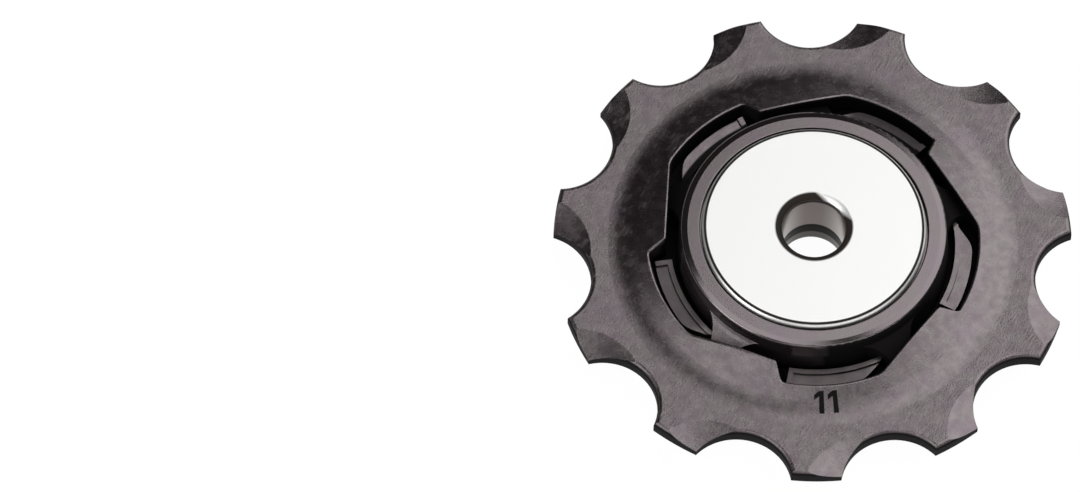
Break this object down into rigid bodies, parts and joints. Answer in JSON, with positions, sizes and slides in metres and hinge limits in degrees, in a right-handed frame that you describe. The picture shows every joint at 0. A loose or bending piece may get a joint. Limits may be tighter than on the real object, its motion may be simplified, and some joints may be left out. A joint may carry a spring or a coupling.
{
  "type": "derailleur jockey wheel",
  "caption": "Derailleur jockey wheel: moulded toothed wheel with teeth bevelled on one side and stepped slots, turning on a sealed ball bearing under two bored metal caps.",
  "frame": {"origin": "on the axle, midway through the thickness of the teeth, which is the middle of the bolt's bore", "axes": "+Z along the axle, out of the face with the bevelled teeth; +X and +Y in the plane of the teeth, with one tooth near -Y"},
  "size_m": [0.0429, 0.0427, 0.0072],
  "materials": {
    "wheel_plastic": "moulded, fine satin grain",
    "cap_metal": "satin turned",
    "bearing_steel": "ground",
    "ball_steel": "polished",
    "cage_nylon": "moulded",
    "seal_rubber": "moulded"
  },
  "bodies": {
    "axle": {"front_cap": "cap_metal", "back_cap": "cap_metal", "inner_race": "bearing_steel"},
    "wheel": {"toothed_wheel": "wheel_plastic", "outer_race": "bearing_steel", "front_seal": "seal_rubber", "back_seal": "seal_rubber"},
    "cage": {"ball_cage": "cage_nylon"},
    "ball_1": {"ball_1": "ball_steel"},
    "ball_2": {"ball_2": "ball_steel"},
    "ball_3": {"ball_3": "ball_steel"},
    "ball_4": {"ball_4": "ball_steel"},
    "ball_5": {"ball_5": "ball_steel"},
    "ball_6": {"ball_6": "ball_steel"},
    "ball_7": {"ball_7": "ball_steel"},
    "ball_8": {"ball_8": "ball_steel"},
    "ball_9": {"ball_9": "ball_steel"}
  },
  "joints": [
    {"name": "wheel_spin", "type": "hinge", "parent": "axle", "child": "wheel", "pos_m": [0, 0, 0], "axis": [0, 0, 1], "continuous": true},
    {"name": "cage_spin", "type": "hinge", "parent": "axle", "child": "cage", "pos_m": [0, 0, 0], "axis": [0, 0, 1], "continuous": true},
    {"name": "ball_1_spin", "type": "hinge", "parent": "cage", "child": "ball_1", "pos_m": [0, 0.006, 0], "axis": [0, 0, 1], "continuous": true},
    {"name": "ball_2_spin", "type": "hinge", "parent": "cage", "child": "ball_2", "pos_m": [-0.00386, 0.0046, 0], "axis": [0, 0, 1], "continuous": true},
    {"name": "ball_3_spin", "type": "hinge", "parent": "cage", "child": "ball_3", "pos_m": [-0.00591, 0.00104, 0], "axis": [0, 0, 1], "continuous": true},
    {"name": "ball_4_spin", "type": "hinge", "parent": "cage", "child": "ball_4", "pos_m": [-0.0052, -0.003, 0], "axis": [0, 0, 1], "continuous": true},
    {"name": "ball_5_spin", "type": "hinge", "parent": "cage", "child": "ball_5", "pos_m": [-0.00205, -0.00564, 0], "axis": [0, 0, 1], "continuous": true},
    {"name": "ball_6_spin", "type": "hinge", "parent": "cage", "child": "ball_6", "pos_m": [0.00205, -0.00564, 0], "axis": [0, 0, 1], "continuous": true},
    {"name": "ball_7_spin", "type": "hinge", "parent": "cage", "child": "ball_7", "pos_m": [0.0052, -0.003, 0], "axis": [0, 0, 1], "continuous": true},
    {"name": "ball_8_spin", "type": "hinge", "parent": "cage", "child": "ball_8", "pos_m": [0.00591, 0.00104, 0], "axis": [0, 0, 1], "continuous": true},
    {"name": "ball_9_spin", "type": "hinge", "parent": "cage", "child": "ball_9", "pos_m": [0.00386, 0.0046, 0], "axis": [0, 0, 1], "continuous": true}
  ],
  "couplings": [
    {"joint": "cage_spin", "follows": "wheel_spin", "ratio": 0.5992},
    {"joint": "ball_1_spin", "follows": "wheel_spin", "ratio": 2.4207},
    {"joint": "ball_2_spin", "follows": "wheel_spin", "ratio": 2.4207},
    {"joint": "ball_3_spin", "follows": "wheel_spin", "ratio": 2.4207},
    {"joint": "ball_4_spin", "follows": "wheel_spin", "ratio": 2.4207},
    {"joint": "ball_5_spin", "follows": "wheel_spin", "ratio": 2.4207},
    {"joint": "ball_6_spin", "follows": "wheel_spin", "ratio": 2.4207},
    {"joint": "ball_7_spin", "follows": "wheel_spin", "ratio": 2.4207},
    {"joint": "ball_8_spin", "follows": "wheel_spin", "ratio": 2.4207},
    {"joint": "ball_9_spin", "follows": "wheel_spin", "ratio": 2.4207}
  ]
}
